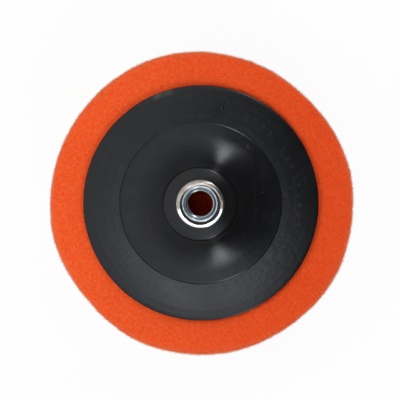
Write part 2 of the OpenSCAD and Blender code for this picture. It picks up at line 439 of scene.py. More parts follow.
def adhesiveMaterial(spec):
    material, g, bsdf, place = newMaterial("hotMelt", **{"IOR": 1.5, "Roughness": 0.35})
    blotch = g.noise(place, 160.0, 4.0, 0.6)
    colour = g.mix(g.ramp(blotch, 0.35, 0.65), spec["colour"], spec["pale"])
    g.link(colour, bsdf.inputs["Base Color"])
    bump(g, bsdf, blotch, 0.0002, 0.6)
    return material


orangeFoam = foamMaterial(foamFinish)
blackPlastic = plasticMaterial(plasticFinish)
zincSteel = steelMaterial("zincSteel", zincFinish)
brightSteel = steelMaterial("brightSteel", ringFinish)
hotMelt = adhesiveMaterial(adhesiveFinish)
print("materials made")


# Foam pad: a block cut a little out of round, remeshed to even faces, then given its open cells
foamSpec = {
    "radius": 75.4, "faceEdge": 8.0, "backEdge": 1.4, "waist": 0.3, "pocketRadius": 12.0, "pocketDepth": 22.0,
    "offCentre": (0.2, -0.55), "roundTo": 58.5, "footShare": 0.55,
    # direction in degrees, spread in degrees, depth in mm
    "bulges": [(47, 18, -1.1), (219, 17, -0.85), (303, 12, -0.35), (108, 24, 0.8), (332, 13, 0.5),
               (194, 13, 0.6), (10, 9, 0.45), (75, 9, -0.3), (243, 9, 0.3)],
    "crease": 58.5, "creaseDepth": 0.7, "creaseWidth": 0.5, "meshSize": 0.72,
    "poreSize": 1.7, "poreDepth": 0.22, "poreShare": 0.3, "lumpSize": 7.0, "lumpDepth": 0.2, "seed": 3.0,
}


def foamOutline(spec, top):
    r, face, back = spec["radius"], spec["faceEdge"], spec["backEdge"]
    sideHeight = top - back - face
    side = [(r - spec["waist"] * math.sin(math.pi * i / 8), face + sideHeight * i / 8) for i in range(1, 8)]
    crease, depth, half = spec["crease"], spec["creaseDepth"], spec["creaseWidth"]
    creased = [(crease + half * 2, top), (crease + half * 0.8, top - depth * 0.4), (crease, top - depth),
               (crease - half * 0.6, top - depth), (crease - half, top)]
    pocket, pocketFloor = spec["pocketRadius"], top - spec["pocketDepth"]
    pocketWall = [(pocket + 0.6, top), (pocket, top - 0.6), (pocket - 0.4, pocketFloor + 1),
                  (pocket - 1.4, pocketFloor), (0, pocketFloor)]
    return ([(0, 0), (20, 0), (40, 0), (55, 0)] + arc(r - face, face, face, 270, 360, 10) + side
            + arc(r - back, top - back, back, 0, 90, 6) + [(66, top)] + creased + [(40, top)] + pocketWall)


# Round under the plate, and more and more uneven out to the rim and up to the back
def foamShape(spec, top):
    def shape(row, r, z, a):
        outward = max(0.0, (r - spec["roundTo"]) / (spec["radius"] - spec["roundTo"]))
        share = outward * (spec["footShare"] + (1 - spec["footShare"]) * z / top)
        change = spec["offCentre"][0] * math.cos(a) + spec["offCentre"][1] * math.sin(a)
        for direction, spread, depth in spec["bulges"]:
            off = (math.degrees(a) - direction + 180) % 360 - 180
            change += depth * math.exp(-(off / spread) ** 2)
        return r + change * share, z
    return shape


def foamCellsTree():
    tree = bpy.data.node_groups.new("openCells", "GeometryNodeTree")
    inputs = [("Geometry", "NodeSocketGeometry", None), ("Pore Size", "NodeSocketFloat", 0.002),
              ("Pore Depth", "NodeSocketFloat", 0.0005), ("Pore Share", "NodeSocketFloat", 0.3),
              ("Lump Size", "NodeSocketFloat", 0.007), ("Lump Depth", "NodeSocketFloat", 0.0002),
              ("Seed", "NodeSocketFloat", 0.0), ("Material", "NodeSocketMaterial", None)]
    identifiers = groupSockets(tree, inputs, [("Geometry", "NodeSocketGeometry")])
    g = Graph(tree)
    given, result = tree.nodes.new("NodeGroupInput").outputs, tree.nodes.new("NodeGroupOutput")
    place = g.add("GeometryNodeInputPosition").outputs[0]
    shift = g.vector(given["Seed"], given["Seed"], 0.0)
    place = g.add("ShaderNodeVectorMath", {0: place, 1: shift}, operation="ADD").outputs[0]
    wobble = g.add("ShaderNodeTexNoise", {"Vector": place, "Scale": 600.0, "Detail": 1.0}).outputs["Color"]
    wobble = g.add("ShaderNodeVectorMath", {0: wobble, "Scale": 0.0012}, operation="SCALE").outputs[0]
    bent = g.add("ShaderNodeVectorMath", {0: place, 1: wobble}, operation="ADD").outputs[0]
    perMetre = g.math("DIVIDE", 1.0, given["Pore Size"])
    pores = g.add("ShaderNodeTexVoronoi", {"Vector": bent, "Scale": perMetre})
    chosen = g.channel(pores.outputs["Color"], 0, "FunctionNodeSeparateColor")
    chosen = g.math("LESS_THAN", chosen, given["Pore Share"])
    opened = g.ramp(pores.outputs["Distance"], 0.42, 0.1)
    sunk = g.math("MULTIPLY", g.math("MULTIPLY", opened, chosen), given["Pore Depth"])
    lumps = g.noise(place, g.math("DIVIDE", 1.0, given["Lump Size"]), 3.0)
    lumps = g.math("MULTIPLY", g.ramp(lumps, 0.3, 0.7), given["Lump Depth"])
    inward = g.math("MULTIPLY", g.math("ADD", sunk, lumps), -1.0)
    normal = g.add("GeometryNodeInputNormal").outputs[0]
    offset = g.add("ShaderNodeVectorMath", {0: normal, "Scale": inward}, operation="SCALE").outputs[0]
    moved = g.add("GeometryNodeSetPosition", {"Geometry": given["Geometry"], "Offset": offset}).outputs[0]
    real = g.add("GeometryNodeRealizeInstances", {0: moved}).outputs[0]
    painted = g.add("GeometryNodeSetMaterial", {"Geometry": real, "Material": given["Material"]}).outputs[0]
    g.link(painted, result.inputs[0])
    return tree, identifiers


foamBlock = turnedMesh("foamBlock", foamOutline(foamSpec, foamBack), 240, shape=foamShape(foamSpec, foamBack))
foamMesh = evenFaces(foamBlock, foamSpec["meshSize"] * (1))
cellsTree, cellsInputs = foamCellsTree()
foamSkin = bakeTree(foamMesh, cellsTree, cellsInputs, {
    "Pore Size": foamSpec["poreSize"] * mm, "Pore Depth": foamSpec["poreDepth"] * mm,
    "Pore Share": foamSpec["poreShare"], "Lump Size": foamSpec["lumpSize"] * mm,
    "Lump Depth": foamSpec["lumpDepth"] * mm, "Seed": foamSpec["seed"], "Material": orangeFoam})
foamPad = newPiece("foam_pad_cells", foamSkin, orangeFoam, None)
print("foam pad", len(foamSkin.polygons), "faces")


# Cut struts: the ends of the cell walls that stand up all over a cut foam surface
strutSpec = {"perSquareMetre": 520000, "quickShare": 0.1, "edgeBoost": 16.0, "length": 1.4, "flatShare": 0.32,
             "width": 0.07, "lean": 38, "seed": 11}


def strutTree():
    tree = bpy.data.node_groups.new("cutStruts", "GeometryNodeTree")
    inputs = [("Geometry", "NodeSocketGeometry", None), ("Density", "NodeSocketFloat", 500000.0),
              ("Length", "NodeSocketFloat", 0.0005), ("Width", "NodeSocketFloat", 0.00009),
              ("Flat Share", "NodeSocketFloat", 0.3), ("Lean", "NodeSocketFloat", 0.9),
              ("Seed", "NodeSocketInt", 0), ("Top", "NodeSocketFloat", 0.05),
              ("Edge Boost", "NodeSocketFloat", 8.0), ("Material", "NodeSocketMaterial", None)]
    identifiers = groupSockets(tree, inputs, [("Geometry", "NodeSocketGeometry")])
    g = Graph(tree)
    given, result = tree.nodes.new("NodeGroupInput").outputs, tree.nodes.new("NodeGroupOutput")
    x, y, z = g.axes(g.add("GeometryNodeInputPosition").outputs[0])
    below = g.math("SUBTRACT", given["Top"], z)
    # thickest round the back edge, thinner down the side
    crowd = g.math("MULTIPLY", g.ramp(below, 0.0045, 0.002), g.ramp(g.distance(x, y), 0.0725, 0.074))
    crowd = g.math("MULTIPLY_ADD", crowd, given["Edge Boost"], g.ramp(below, 0.006, 0.002, 0.35, 1.0))
    density = g.math("MULTIPLY", given["Density"], crowd)
    points = g.add("GeometryNodeDistributePointsOnFaces", {
        "Mesh": given["Geometry"], "Density": density, "Seed": given["Seed"]})
    strut = g.add("GeometryNodeMeshCone", {"Vertices": 3, "Radius Top": 0.0, "Radius Bottom": given["Width"],
                                           "Depth": given["Length"]}, fill_type="NGON").outputs[0]
    height = g.axes(g.add("GeometryNodeInputPosition").outputs[0])[2]
    along = g.math("DIVIDE", height, given["Length"], clamp=True)
    strut = g.add("GeometryNodeStoreNamedAttribute", {"Geometry": strut, "Name": "tip", "Value": along},
                  data_type="FLOAT", domain="POINT").outputs[0]
    leanBack = g.math("MULTIPLY", given["Lean"], -1.0)
    leans = [g.randomBetween(leanBack, given["Lean"], n) for n in (5, 6)]
    euler = g.vector(*leans, g.randomBetween(0.0, 6.283, 7))
    lean = g.add("FunctionNodeEulerToRotation", {0: euler}).outputs[0]
    turned = g.add("FunctionNodeRotateRotation", {0: points.outputs["Rotation"], 1: lean},
                   rotation_space="LOCAL").outputs[0]
    size = g.randomBetween(0.5, 1.0, 8)
    level = g.math("ABSOLUTE", g.axes(points.outputs["Normal"])[2])  # 1 on the flat faces, 0 on the side
    shorter = g.ramp(level, 0.25, 0.9, 1.0, given["Flat Share"])
    length = g.math("MULTIPLY", g.math("POWER", size, 2.0), shorter)
    placed = g.add("GeometryNodeInstanceOnPoints", {
        "Points": points.outputs["Points"], "Instance": strut, "Rotation": turned,
        "Scale": g.vector(size, size, length)}).outputs[0]
    real = g.add("GeometryNodeRealizeInstances", {0: placed}).outputs[0]
    painted = g.add("GeometryNodeSetMaterial", {"Geometry": real, "Material": given["Material"]}).outputs[0]
    g.link(painted, result.inputs[0])
    return tree, identifiers


strutsTree, strutInputs = strutTree()
strutMesh = bakeTree(foamSkin.copy(), strutsTree, strutInputs, {
    "Density": strutSpec["perSquareMetre"] * 1.0,
    "Length": strutSpec["length"] * mm, "Width": strutSpec["width"] * mm,
    "Flat Share": strutSpec["flatShare"], "Lean": math.radians(strutSpec["lean"]),
    "Seed": strutSpec["seed"], "Top": foamBack * mm, "Edge Boost": strutSpec["edgeBoost"],
    "Material": orangeFoam})
foamStruts = newPiece("foam_pad_struts", strutMesh, orangeFoam, None)
print("cut struts", len(strutMesh.polygons), "faces")


# Adhesive film, squeezed out unevenly at the plate's rim
filmSpec = {"outer": 57.9, "inner": 12.3, "edge": 0.1, "squeeze": 0.35, "steps": 360}


def filmShape(spec):
    def shape(row, r, z, a):
        if r > spec["inner"]:
            wave = noise.noise(Vector((math.cos(a) * 9, math.sin(a) * 9, 2.0)))
            fine = noise.noise(Vector((math.cos(a) * 60, math.sin(a) * 60, 5.0)))
            r += spec["squeeze"] * (wave + 0.4 * fine)
        return r, z
    return shape


def filmOutline(s, low, high):
    return [(s["inner"], low), (s["outer"] - s["edge"], low), (s["outer"], low + s["edge"]),
            (s["outer"], high - s["edge"]), (s["outer"] - s["edge"], high), (s["inner"], high)]


filmLow, filmHigh = [corner.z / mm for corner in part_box("adhesive_film")]
filmMesh = turnedMesh("filmMesh", filmOutline(filmSpec, filmLow, filmHigh), filmSpec["steps"], True,
                      filmShape(filmSpec))
adhesiveFilm = newPiece("adhesive_film_bead", filmMesh, hotMelt)


# Backing plate: flange, groove, hollow dome and boss on top, a cored ring with ribs underneath
plateSpec = {
    "rim": 58.5, "rimThickness": 2.6, "flangeThickness": 3.0, "rimEdge": 0.7,
    "grooveOuter": 40.3, "grooveInner": 39.72, "grooveDepth": 0.26, "grooveFillet": 0.18,
    # slopes in degrees at the groove, where the dome's flank starts, and at the boss
    "apron": 34.5, "slopes": (4.0, 6.0, 52.0), "skin": 3.0, "skinEnd": 15.0, "sleeve": 15.0,
    "boss": 17.3, "bossShift": (-0.4, -0.16), "bossShiftReach": 2.4, "bossWall": 2.2, "bossEdge": 0.8,
    "bossSlope": 7.0, "bossRound": 1.1, "bossFoot": 17.95,
    "bushBore": 8.72, "ringSeat": 11.7, "ribs": 12, "ribThickness": 1.8, "steps": 288,
}


def hollow(cr, cz, r, fromSlope, toSlope, steps):
    return arc(cr, cz, r, 270 - fromSlope, 270 - toSlope, steps)


def plateCurves(s):
    apronSlope, turnSlope, flankSlope = [math.radians(v) for v in s["slopes"]]
    c = {}
    c["apronR"] = (s["grooveInner"] - s["apron"]) / (math.sin(turnSlope) - math.sin(apronSlope))
    c["apronCr"] = s["grooveInner"] + c["apronR"] * math.sin(apronSlope)
    c["apronCz"] = s["flangeThickness"] + c["apronR"] * math.cos(apronSlope)
    turnZ = c["apronCz"] - c["apronR"] * math.cos(turnSlope)
    c["flankR"] = (s["apron"] - s["boss"]) / (math.sin(flankSlope) - math.sin(turnSlope))
    c["flankCr"] = s["apron"] + c["flankR"] * math.sin(turnSlope)
    c["flankCz"] = turnZ + c["flankR"] * math.cos(turnSlope)
    c["flankTop"] = c["flankCz"] - c["flankR"] * math.cos(flankSlope)
    c["skinR"] = c["flankR"] + s["skin"]
    c["skinStart"] = math.degrees(math.asin((c["flankCr"] - s["sleeve"]) / c["skinR"]))
    c["bossEdgeZ"] = c["flankTop"] + s["bossWall"]
    slope = math.radians(s["bossSlope"])
    c["bossTopR"] = s["boss"] - s["bossEdge"] * (1 - math.sin(slope))
    c["bossTopZ"] = c["bossEdgeZ"] + s["bossEdge"] * math.cos(slope)
    c["roundR"] = s["bossFoot"] - s["bossRound"]
    roundTop = bossHeight(s, c, c["roundR"] + s["bossRound"] * math.sin(slope))
    c["roundZ"] = roundTop - s["bossRound"] * math.cos(slope)
    return c


# The flange is level beside the groove and falls away towards the rim
def flangeHeight(s, r):
    f = s["grooveOuter"] + s["grooveFillet"]
    share = (r - f) / (s["rim"] - s["rimEdge"] - f)
    return s["flangeThickness"] + (s["rimThickness"] - s["flangeThickness"]) * share ** 2


def bossHeight(s, c, r):
    return c["bossTopZ"] + (c["bossTopR"] - r) * math.tan(math.radians(s["bossSlope"]))


def plateOutline(s, c):
    apronSlope, turnSlope = s["slopes"][:2]
    f = s["grooveFillet"]
    floor = s["flangeThickness"] - s["grooveDepth"]
    # up the bore that holds the bush, under the seat ring, and out over the boss
    bore, ring = s["bushBore"], s["ringSeat"]
    seat = bossHeight(s, c, ring)
    outer = [(s["sleeve"], 0.0), (bore, 0.0), (bore, 0.4), (bore, seat), (ring - 0.02, seat - 0.05),
             (ring + 0.05, seat - 0.02), (ring + 0.3, bossHeight(s, c, ring + 0.3))]
    outer += arc(c["roundR"], c["roundZ"], s["bossRound"], 90 - s["bossSlope"], 8, 10)
    foot = math.degrees(math.asin((c["flankCr"] - s["bossFoot"]) / c["flankR"]))
    outer += hollow(c["flankCr"], c["flankCz"], c["flankR"], foot - 1, turnSlope, 40)
    outer += hollow(c["apronCr"], c["apronCz"], c["apronR"], turnSlope - 0.2, apronSlope, 6)[:-1]
    inner, out = s["grooveInner"], s["grooveOuter"]
    outer += [(inner - f, s["flangeThickness"] + 0.003), (inner - 0.02, s["flangeThickness"])]
    outer += [(out - 0.13, floor + 0.01), (out - 0.08, floor), (out + 0.08, s["flangeThickness"] - 0.02)]
    outer += [(out + 0.12, s["flangeThickness"]), (out + f, s["flangeThickness"])]
    edge = s["rimEdge"]
    for i in range(1, 12):
        r = out + f + (s["rim"] - edge - out - f) * i / 12
        outer.append((r, flangeHeight(s, r)))
    outer += arc(s["rim"] - edge, s["rimThickness"] - edge, edge, 88, 0, 7)
    outer += [(s["rim"], 0.25), (s["rim"] - 0.25, 0.0)]
    skinEndR = c["flankCr"] - c["skinR"] * math.sin(math.radians(s["skinEnd"]))
    outer += [(44.0, 0.0), (skinEndR, 0.0)]
    outer += hollow(c["flankCr"], c["flankCz"], c["skinR"], s["skinEnd"], c["skinStart"], 14)
    return outer


# The mould's two halves met a little out of line, so the boss sits off the groove's centre
def plateShape(spec, sideZ):
    def shape(row, r, z, a):
        near = max(0.0, 1 - abs(r - spec["boss"]) / spec["bossShiftReach"]) if z > sideZ else 0.0
        return r + near * (spec["bossShift"][0] * math.cos(a) + spec["bossShift"][1] * math.sin(a)), z
    return shape


plateCurve = plateCurves(plateSpec)
plateProfile = [(r, z + plateBase) for r, z in plateOutline(plateSpec, plateCurve)]
bossSideZ = max(z for r, z in plateProfile) - 5.0  # keeps the shift off the underside
plateShell = turnedMesh("plateShell", plateProfile, plateSpec["steps"], True,
                        plateShape(plateSpec, bossSideZ))


# One tree sets copies of a part round the spindle axis: the ribs and the raised marks
def roundTheAxisTree():
    tree = bpy.data.node_groups.new("roundTheAxis", "GeometryNodeTree")
    inputs = [("Geometry", "NodeSocketGeometry", None), ("Count", "NodeSocketInt", 12),
              ("First Angle", "NodeSocketFloat", 0.0), ("Step Angle", "NodeSocketFloat", 0.5),
              ("Jitter", "NodeSocketFloat", 0.0), ("Seed", "NodeSocketInt", 0),
              ("Material", "NodeSocketMaterial", None)]
    identifiers = groupSockets(tree, inputs, [("Geometry", "NodeSocketGeometry")])
    g = Graph(tree)
    given, result = tree.nodes.new("NodeGroupInput").outputs, tree.nodes.new("NodeGroupOutput")
    points = g.add("GeometryNodePoints", {"Count": given["Count"]}).outputs[0]
    index = g.add("GeometryNodeInputIndex").outputs[0]
    angle = g.math("MULTIPLY_ADD", index, given["Step Angle"], given["First Angle"])
    back = g.math("MULTIPLY", given["Jitter"], -1.0)
    shake = g.randomBetween(back, given["Jitter"], given["Seed"])
    euler = g.vector(0.0, 0.0, g.math("ADD", angle, shake))
    turn = g.add("FunctionNodeEulerToRotation", {0: euler}).outputs[0]
    placed = g.add("GeometryNodeInstanceOnPoints", {
        "Points": points, "Instance": given["Geometry"], "Rotation": turn}).outputs[0]
    real = g.add("GeometryNodeRealizeInstances", {0: placed}).outputs[0]
    painted = g.add("GeometryNodeSetMaterial", {"Geometry": real, "Material": given["Material"]}).outputs[0]
    g.link(painted, result.inputs[0])
    return tree, identifiers


roundTree, roundInputs = roundTheAxisTree()


def roundTheAxis(part, count, first, step, material, jitter=0.0, seed=1):
    return bakeTree(part, roundTree, roundInputs, {
        "Count": count, "First Angle": math.radians(first), "Step Angle": math.radians(step),
        "Jitter": math.radians(jitter), "Seed": seed, "Material": material})


# A rib stands on edge between the sleeve and the dome's skin, from the plate's underside up
def ribMesh(s, c):
    bm = bmesh.new()
    top = hollow(c["flankCr"], c["flankCz"], c["skinR"] - 0.4, s["skinEnd"], c["skinStart"] + 1.5, 12)
    section = [(s["sleeve"] - 0.4, 0.02)] + [(top[0][0], 0.02)] + top
    half = s["ribThickness"] / 2
    sides = []
    for y in (-half, half):
        sides.append([bm.verts.new((r * mm, y * mm, (z + plateBase) * mm)) for r, z in section])
    for side in sides:
        bm.faces.new(side)
    for i in range(len(section)):
        n = (i + 1) % len(section)
        bm.faces.new([sides[0][i], sides[0][n], sides[1][n], sides[1][i]])
    return finishMesh(bm, "rib")


# Plain raised marks in a row on the flange, with soft edges and no lettering
markSpec = {
    # how many in each group, and where it starts in degrees
    "groups": [(5, 68.0), (9, 33.0)], "step": -5.7, "jitter": 0.4, "seed": 4,
    "radius": 48.6, "length": 3.4, "width": 1.5, "height": 0.025, "sunk": 0.15, "edge": 0.3,
}


def raisedTile(s, spec):
    bm = bmesh.new()
    base = plateBase + flangeHeight(s, spec["radius"])
    for v in bmesh.ops.create_cube(bm, size=1.0)["verts"]:
        z = base - spec["sunk"] + (spec["height"] + spec["sunk"]) * (v.co.z + 0.5)
        v.co = Vector((spec["radius"] + v.co.x * spec["length"], v.co.y * spec["width"], z)) * mm
    corners = [e for e in bm.edges if abs(e.verts[0].co.z - e.verts[1].co.z) > 0.01 * mm]
    bmesh.ops.bevel(bm, geom=corners, offset=spec["edge"] * mm, segments=4, affect="EDGES")
    upper = [e for e in bm.edges if min(v.co.z for v in e.verts) > base * mm]
    bmesh.ops.bevel(bm, geom=upper, offset=spec["height"] * 0.9 * mm, segments=3, affect="EDGES")
    return finishMesh(bm, "raisedTile")


# Small round witness marks of the mould's ejector pins: radius, angle, size, height
pipSpec = [(36.0, 162.0, 0.8, 0.25), (36.7, 50.5, 0.9, 0.25), (48.6, 77.7, 1.1, 0.6), (22.0, 229.0, 0.9, 0.5)]


def domeHeight(s, c, r):
    if r > s["apron"]:
        return c["apronCz"] - math.sqrt(c["apronR"] ** 2 - (c["apronCr"] - r) ** 2)
    return c["flankCz"] - math.sqrt(c["flankR"] ** 2 - (c["flankCr"] - r) ** 2)


def pipMesh(s, c, radius, angle, size, height, sunk=0.3):
    base = flangeHeight(s, radius) if radius > s["grooveOuter"] else domeHeight(s, c, radius)
    slope = 0.0 if radius > s["apron"] else math.asin((c["flankCr"] - radius) / c["flankR"])
    bm = bmesh.new()
    outline = [(0, -sunk), (size, -sunk), (size, -0.02), (size * 0.92, height * 0.4),
               (size * 0.7, height * 0.8), (size * 0.35, height), (0, height)]
    turnInto(bm, outline, 20)
    outward = Matrix.Translation(Vector((radius, 0, base + plateBase)) * mm)
    place = Matrix.Rotation(math.radians(angle), 4, "Z") @ outward @ Matrix.Rotation(slope, 4, "Y")
    bmesh.ops.transform(bm, matrix=place, verts=bm.verts)
    return finishMesh(bm, "pip")


rib, ribCount = ribMesh(plateSpec, plateCurve), plateSpec["ribs"]
ribs = roundTheAxis(rib, ribCount, 0.0, 360.0 / ribCount, blackPlastic)
tile = raisedTile(plateSpec, markSpec)
marks = []
for count, first in markSpec["groups"]:
    marks.append(roundTheAxis(tile.copy(), count, first, markSpec["step"], blackPlastic, markSpec["jitter"],
                              markSpec["seed"]))
pips = [pipMesh(plateSpec, plateCurve, *pip) for pip in pipSpec]
plateMesh = joinMeshes("plateMesh", [plateShell, ribs] + marks + pips)
backingPlate = newPiece("backing_plate_moulding", plateMesh, blackPlastic)
print("backing plate", len(backingPlate.data.polygons), "faces")


# Threaded bush: helical M14 x 2 bore, two countersinks, hexagonal collar and two knurled necks
bushSpec = {
    # bore: thread, then a bright first turn and a countersink above it
    "minor": 6.3, "major": 7.1, "pitch": 2.0, "firstTurn": 6.95, "firstTurnSlope": 28.0,
    "countersink": 7.9, "leadSlope": 55.0, "lip": 0.06, "exitCountersink": 7.2,
    "radius": 8.78, "hexFlats": 21.0, "hexBase": 2.0, "hexHeight": 4.0, "hexEdge": 0.6,
    "neckDepth": 0.7, "neckHeight": 1.4, "necks": 2, "knurl": 0.25, "steps": 96,
}


def bushMesh(s, base, top, ringFootZ):
    bm = bmesh.new()
    steps, pitch = s["steps"], s["pitch"]
    leadOut = s["exitCountersink"] - s["minor"]
    lipZ = top - s["lip"]
    firstTurnZ = lipZ - (s["countersink"] - s["firstTurn"]) * math.tan(math.radians(s["leadSlope"]))
    threadTop = firstTurnZ - (s["firstTurn"] - s["minor"]) * math.tan(math.radians(s["firstTurnSlope"]))
    # phase along the pitch and share of the thread's depth
    section = [(0.0, 0.05), (0.03, 0.0), (0.22, 0.0), (0.25, 0.05), (0.5625, 1.0), (0.6875, 1.0)]
    turns = math.ceil((top - base) / pitch) + 2
    rows = [(base - pitch + (turn + phase) * pitch, depth)
            for turn in range(turns) for phase, depth in section]
    grid = []
    for z, depth in rows:
        line = []
        for k in range(steps):
            a = 2 * math.pi * k / steps
            zz = min(max(z + pitch * k / steps, base), threadTop)
            cut = depth if zz < threadTop else 0.0
            r = max(s["minor"] + cut * (s["major"] - s["minor"]), s["minor"] + base + leadOut - zz)
            line.append(bm.verts.new((r * math.cos(a) * mm, r * math.sin(a) * mm, zz * mm)))
        grid.append(line)
    perTurn = len(section)
    for i in range(len(grid) - 1):
        for k in range(steps - 1):
            bm.faces.new([grid[i][k], grid[i][k + 1], grid[i + 1][k + 1], grid[i + 1][k]])
        if i + 1 + perTurn < len(grid):
            j = i + perTurn
            bm.faces.new([grid[i][steps - 1], grid[j][0], grid[j + 1][0], grid[i + 1][steps - 1]])
    for i in range(len(grid) - 1 - perTurn, len(grid) - 1):
        bm.faces.new([grid[i][steps - 1], grid[-1][0], grid[i + 1][steps - 1]])
    r, neck = s["radius"], s["radius"] - s["neckDepth"]
    outline = [(s["minor"], threadTop), (s["minor"] + 0.07, threadTop + 0.08),
               (s["firstTurn"] - 0.06, firstTurnZ - 0.05), (s["firstTurn"], firstTurnZ),
               (s["countersink"], lipZ), (s["countersink"] + s["lip"], lipZ + 0.03),
               (r - 0.22, top), (r - 0.06, top - 0.07), (r, top - 0.25)]
    kinds = ["round"] * len(outline)
    hexFoot, flat = base + s["hexBase"], s["hexFlats"] / 2
    hexTop = hexFoot + s["hexHeight"]
    neckStep = (ringFootZ - hexTop) / (s["necks"] + 1)
    half = s["neckHeight"] / 2
    for i in range(s["necks"], 0, -1):
        middle = hexTop + neckStep * i
        low, high = middle - half, middle + half
        outline += [(r, high), (neck, high - 0.05), (neck, low + 0.05), (r, low)]
        kinds += ["round", "knurl", "knurl", "round"]
    outline += [(r, hexTop), (flat, hexTop), (flat, hexTop - s["hexEdge"]), (flat, hexFoot), (r, hexFoot),
                (r, base + 0.3), (r - 0.3, base), (s["exitCountersink"], base)]
    kinds += ["round", "round", "hex", "hex", "round", "round", "round", "round"]

    def shape(row, rr, zz, a):
        if kinds[row] == "hex":
            off = (math.degrees(a) + 30) % 60 - 30
            return rr / math.cos(math.radians(off)), zz
        if kinds[row] == "knurl":
            return rr + (s["knurl"] if round(a / (2 * math.pi) * steps) % 2 else 0.0), zz
        return rr, zz
    turnInto(bm, outline, steps, False, shape)
    return finishMesh(bm, "bushMesh", 1e-5)


bushTurned = bushMesh(bushSpec, plateBase, bushTop, ringFoot)
threadedBush = newPiece("threaded_bush_turned", bushTurned, zincSteel, 28)


# Seat ring: a low crowned top with turned edges, its bore a little off centre and burred
ringSpec = {
    "outer": 11.7, "bore": 9.6, "flat": 0.5, "chamfer": 0.3, "footOut": 0.9, "footHeight": 1.0,
    "boreShift": (0.32, -0.66), "burr": 0.07, "steps": 240,
    # outward slope by direction, both in degrees, and an arc worn to a flat that tips towards -Y
    "slopes": [(-14, 1.5), (8, 1.5), (25, 9), (62, 9), (90, 26), (120, 16), (150, 20), (180, 12), (194, 12)],
    "wornArc": (-166.0, -14.0), "wornEnds": (12.0, 4.0), "wornTip": 2.4,
}


def ringMesh(s, foot, top):
    flat = s["bore"] + s["chamfer"] + s["flat"]
    shoulder = s["outer"] - s["chamfer"]
    footR, footTop = s["outer"] + s["footOut"], foot + s["footHeight"]
    outline = [(s["bore"], foot), (footR, foot), (footR, footTop), (s["outer"], footTop),
               (s["outer"], top - s["chamfer"])]
    outline += arc(shoulder, top - s["chamfer"], s["chamfer"], 20, 80, 4)
    outline += [(shoulder - 0.35, top), (flat + 0.25, top), (flat, top - 0.005), (flat - 0.2, top),
                (s["bore"] + s["chamfer"], top), (s["bore"] + 0.1, top - 0.09),
                (s["bore"], top - s["chamfer"])]

    def wornShare(a):
        start, end = s["wornArc"]
        off = (math.degrees(a) - (start + end) / 2 + 180) % 360 - 180
        softness = s["wornEnds"][0 if off < 0 else 1]
        share = min(1.0, max(0.0, ((end - start) / 2 - abs(off)) / softness + 0.5))
        return share * share * (3 - 2 * share)

    def outwardSlope(a):
        turn = (math.degrees(a) + 14) % 360 - 14
        for (low, first), (high, second) in zip(s["slopes"], s["slopes"][1:]):
            if low <= turn <= high:
                return first + (second - first) * (turn - low) / (high - low)
        return s["slopes"][-1][1]

    def shape(row, r, z, a):
        worn = wornShare(a)
        if r > flat and z > top - 1.0:
            z -= (1 - worn) * (r - flat) * math.tan(math.radians(outwardSlope(a)))
        if z > top - 1.0:
            z += worn * (r * math.sin(a) + s["bore"] * 0.25) * math.tan(math.radians(s["wornTip"]))
        shift = s["boreShift"][0] * math.cos(a) + s["boreShift"][1] * math.sin(a)
        if r < flat and row > 0:
            inner = (flat - r) / (flat - s["bore"])
            r += inner * shift
            if z > top - 0.5:
                bite = noise.noise(Vector((math.cos(a) * 4, math.sin(a) * 4, 3.0)))
                nick = noise.noise(Vector((math.cos(a) * 14, math.sin(a) * 14, 7.0)))
                r += s["burr"] * inner * (bite + 0.7 * nick)
        elif r < flat:
            r += shift
        return r, z
    return turnedMesh("ringMesh", outline, s["steps"], True, shape)


seatRing = newPiece("seat_ring_turned", ringMesh(ringSpec, ringFoot, ringTop), brightSteel)


# Every piece rides on the one body and stands for its CAD node
for piece, node, slotName in [
        (foamPad, "foam_pad", "orange_foam"), (foamStruts, "foam_pad", "orange_foam"),
        (adhesiveFilm, "adhesive_film", "adhesive"), (backingPlate, "backing_plate", "black_plastic"),
        (threadedBush, "threaded_bush", "zinc_steel"), (seatRing, "seat_ring", "nickel_steel")]:
    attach(piece, "root")
    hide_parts(node)
print("pieces made")


# Studio: pale floor, a soft bright wall round the left side, a dark right side, and two upright strip lights
studio = {
    "floorColour": (0.86, 0.86, 0.86, 1), "floorSpeckle": (0.8, 0.8, 0.8, 1), "floorGlow": 0.94,
    # the glow that polished pieces mirror falls off away from the pad, most of all on the right
    "glowFade": (0.1, 0.3), "farGlow": 0.32, "farGlowRight": 0.1,
    # the wall's edge starts left of the zenith, leans right as it comes down, and blurs as it goes
    "wallLow": 0.30, "wallHigh": 0.73, "wallStart": -0.012, "wallLean": (0.8, -0.3), "wallBlur": (0.07, 0.6),
    "darkSide": 0.04,
    # direction, inner and outer reach, and strength of the soft lamps near the zenith
    "lamps": [(-0.03, -0.1, 0.0, 0.12, 1.75), (-0.02, -0.1, 0.0, 0.07, 1.2), (0.05, -0.16, 0.04, 0.13, 0.65),
              (0.09, -0.045, 0.0, 0.14, 0.15)],
    # azimuth in degrees, strength and half width of each strip, then its soft skirt and its two ends
    "strips": [(66.5, 5.4, 0.08), (-71.0, 4.5, 0.1)], "skirt": 0.07, "skirtWidth": 0.11,
    "stripOut": (0.15, 0.75), "stripUp": (0.18, 0.62, 0.08, 1.0),
    # lamps that shade but leave no highlight: azimuth, angle off the zenith, distance, size and power
    "fills": [("side_fill", 180.0, 30.0, 0.36, 0.22, 0.44), ("front_fill", -55.0, 50.0, 1.3, 0.5, 3.0),
              ("edge_fill", 40.0, 85.0, 1.2, 0.8, 5.5)],
}


